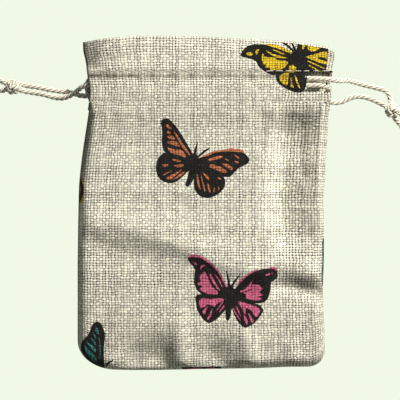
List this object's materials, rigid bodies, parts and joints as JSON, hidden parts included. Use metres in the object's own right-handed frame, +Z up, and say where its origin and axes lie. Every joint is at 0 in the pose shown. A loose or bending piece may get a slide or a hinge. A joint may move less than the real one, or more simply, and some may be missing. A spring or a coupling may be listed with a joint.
{
  "type": "kinchaku drawstring pouch",
  "caption": "Small kinchaku drawstring pouch of coarse cotton-linen cloth with printed butterflies and two knotted cotton drawstrings, lying on its back.",
  "frame": {"origin": "middle of the pouch's footprint, on the surface that its back panel lies on", "axes": "+X to the right across the pouch, +Y towards its mouth, +Z up out of the front panel"},
  "size_m": [0.1605, 0.1206, 0.012],
  "materials": {
    "cloth": "coarse plain weave, matt",
    "cord": "three-ply twisted cotton, matt"
  },
  "bodies": {
    "root": {"cloth_bag": "cloth", "left_cord_in_casing": "cord", "right_cord_in_casing": "cord", "left_front_end": "cord", "left_back_end": "cord", "left_knot": "cord", "left_tail_long": "cord", "left_tail_short": "cord", "right_front_end": "cord", "right_back_end": "cord", "right_knot": "cord", "right_tail_long": "cord", "right_tail_short": "cord"}
  },
  "joints": []
}
